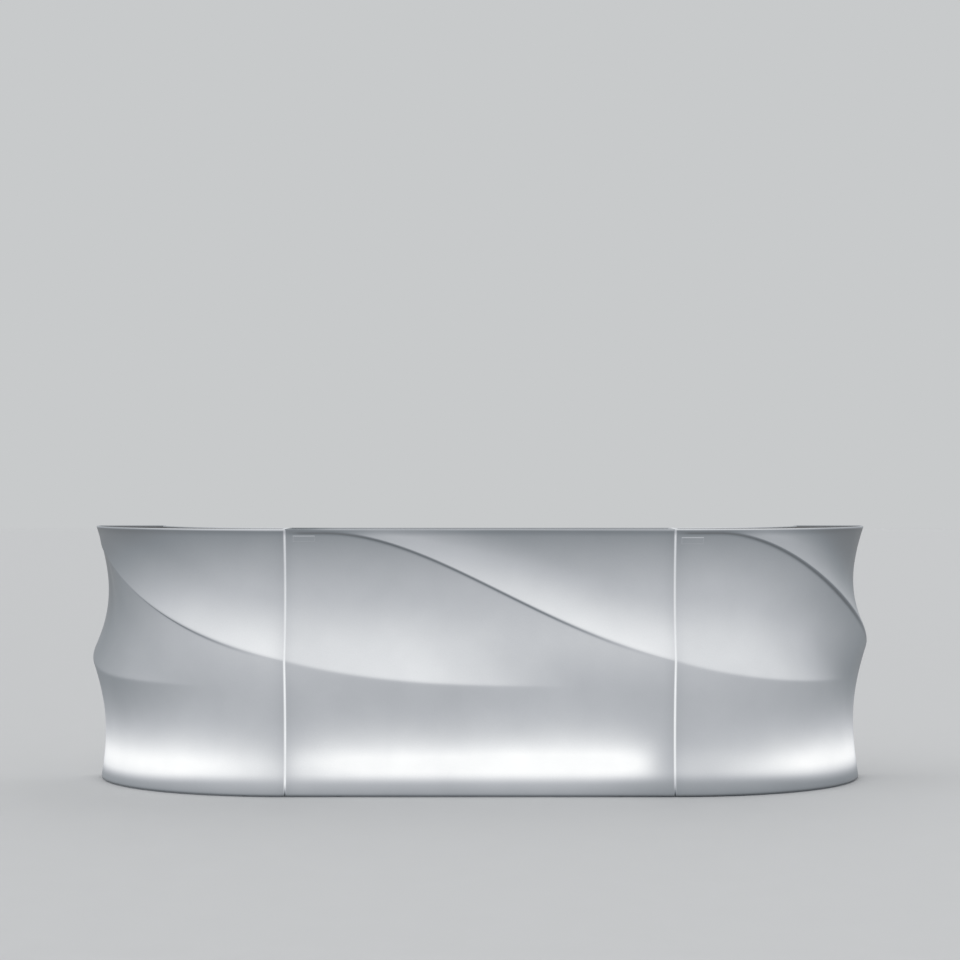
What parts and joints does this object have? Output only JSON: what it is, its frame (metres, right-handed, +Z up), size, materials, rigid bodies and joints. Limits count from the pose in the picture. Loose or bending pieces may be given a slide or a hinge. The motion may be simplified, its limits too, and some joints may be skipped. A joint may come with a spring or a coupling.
{
  "type": "bar counter",
  "caption": "Luminous modular bar counter with a wave-relief front, round corners, rear worktop, inner lamps and levelling feet.",
  "frame": {"origin": "on the floor, under the middle of the counter's outline", "axes": "+X along the counter to the customers' right, +Y to the bartender, +Z up"},
  "size_m": [3.4002, 0.8994, 1.1],
  "materials": {
    "translucent_polyethylene": "satin rotomoulded skin, lit from inside",
    "dark_laminate": "fine satin",
    "stainless_sheet": "brushed",
    "powder_coated_steel": "satin",
    "aluminium_sheet": "satin",
    "white_steel": "gloss",
    "white_plastic": "gloss",
    "opal_tube": "opal, lit",
    "black_plastic": "satin",
    "foot_polyamide": "matt",
    "brass": "turned",
    "zinc_steel": "zinc plated"
  },
  "bodies": {
    "counter": {"bracket_bolts": "zinc_steel", "center_body": "translucent_polyethylene", "center_hatch_cover": "aluminium_sheet", "center_inlet_housing": "black_plastic", "center_lamp_battens": "white_steel", "center_lamp_stands": "white_steel", "center_lamp_tubes": "opal_tube", "center_lampholders": "white_plastic", "center_top_plate": "dark_laminate", "center_worktop": "stainless_sheet", "center_worktop_brackets": "powder_coated_steel", "foot_inserts": "brass", "hatch_screws": "zinc_steel", "joining_bolts": "zinc_steel", "joining_plates": "stainless_sheet", "left_body": "translucent_polyethylene", "left_hatch_cover": "aluminium_sheet", "left_inlet_housing": "black_plastic", "left_lamp_battens": "white_steel", "left_lamp_stands": "white_steel", "left_lamp_tubes": "opal_tube", "left_lampholders": "white_plastic", "left_top_plate": "dark_laminate", "left_worktop": "stainless_sheet", "left_worktop_brackets": "powder_coated_steel", "right_body": "translucent_polyethylene", "right_hatch_cover": "aluminium_sheet", "right_inlet_housing": "black_plastic", "right_lamp_battens": "white_steel", "right_lamp_stands": "white_steel", "right_lamp_tubes": "opal_tube", "right_lampholders": "white_plastic", "right_top_plate": "dark_laminate", "right_worktop": "stainless_sheet", "right_worktop_brackets": "powder_coated_steel", "rivet_nuts": "zinc_steel"},
    "center_foot_front_left": {"center_foot_front_left": "foot_polyamide"},
    "center_foot_front_right": {"center_foot_front_right": "foot_polyamide"},
    "center_foot_rear_left": {"center_foot_rear_left": "foot_polyamide"},
    "center_foot_rear_right": {"center_foot_rear_right": "foot_polyamide"},
    "left_foot_front_end": {"left_foot_front_end": "foot_polyamide"},
    "left_foot_front_seam": {"left_foot_front_seam": "foot_polyamide"},
    "left_foot_rear_end": {"left_foot_rear_end": "foot_polyamide"},
    "left_foot_rear_seam": {"left_foot_rear_seam": "foot_polyamide"},
    "right_foot_front_end": {"right_foot_front_end": "foot_polyamide"},
    "right_foot_front_seam": {"right_foot_front_seam": "foot_polyamide"},
    "right_foot_rear_end": {"right_foot_rear_end": "foot_polyamide"},
    "right_foot_rear_seam": {"right_foot_rear_seam": "foot_polyamide"},
    "center_switch_rocker": {"center_switch_rocker": "black_plastic"},
    "left_switch_rocker": {"left_switch_rocker": "black_plastic"},
    "right_switch_rocker": {"right_switch_rocker": "black_plastic"}
  },
  "joints": [
    {"name": "center_foot_front_left_level", "type": "slide", "parent": "counter", "child": "center_foot_front_left", "axis": [0, 0, -1], "range_m": [0, 0.02]},
    {"name": "center_foot_front_right_level", "type": "slide", "parent": "counter", "child": "center_foot_front_right", "axis": [0, 0, -1], "range_m": [0, 0.02]},
    {"name": "center_foot_rear_left_level", "type": "slide", "parent": "counter", "child": "center_foot_rear_left", "axis": [0, 0, -1], "range_m": [0, 0.02]},
    {"name": "center_foot_rear_right_level", "type": "slide", "parent": "counter", "child": "center_foot_rear_right", "axis": [0, 0, -1], "range_m": [0, 0.02]},
    {"name": "left_foot_front_end_level", "type": "slide", "parent": "counter", "child": "left_foot_front_end", "axis": [0, 0, -1], "range_m": [0, 0.02]},
    {"name": "left_foot_front_seam_level", "type": "slide", "parent": "counter", "child": "left_foot_front_seam", "axis": [0, 0, -1], "range_m": [0, 0.02]},
    {"name": "left_foot_rear_end_level", "type": "slide", "parent": "counter", "child": "left_foot_rear_end", "axis": [0, 0, -1], "range_m": [0, 0.02]},
    {"name": "left_foot_rear_seam_level", "type": "slide", "parent": "counter", "child": "left_foot_rear_seam", "axis": [0, 0, -1], "range_m": [0, 0.02]},
    {"name": "right_foot_front_end_level", "type": "slide", "parent": "counter", "child": "right_foot_front_end", "axis": [0, 0, -1], "range_m": [0, 0.02]},
    {"name": "right_foot_front_seam_level", "type": "slide", "parent": "counter", "child": "right_foot_front_seam", "axis": [0, 0, -1], "range_m": [0, 0.02]},
    {"name": "right_foot_rear_end_level", "type": "slide", "parent": "counter", "child": "right_foot_rear_end", "axis": [0, 0, -1], "range_m": [0, 0.02]},
    {"name": "right_foot_rear_seam_level", "type": "slide", "parent": "counter", "child": "right_foot_rear_seam", "axis": [0, 0, -1], "range_m": [0, 0.02]},
    {"name": "left_switch_tip", "type": "hinge", "parent": "counter", "child": "left_switch_rocker", "pos_m": [-0.89627, -0.12722, 0.33], "axis": [-0.9903, 0.1392, 0], "range_deg": [0, 20]},
    {"name": "center_switch_tip", "type": "hinge", "parent": "counter", "child": "center_switch_rocker", "pos_m": [0.675, -0.135, 0.33], "axis": [-1, 0, 0], "range_deg": [0, 20]},
    {"name": "right_switch_tip", "type": "hinge", "parent": "counter", "child": "right_switch_rocker", "pos_m": [1.37722, 0.35373, 0.33], "axis": [-0.1392, -0.9903, 0], "range_deg": [0, 20]}
  ]
}
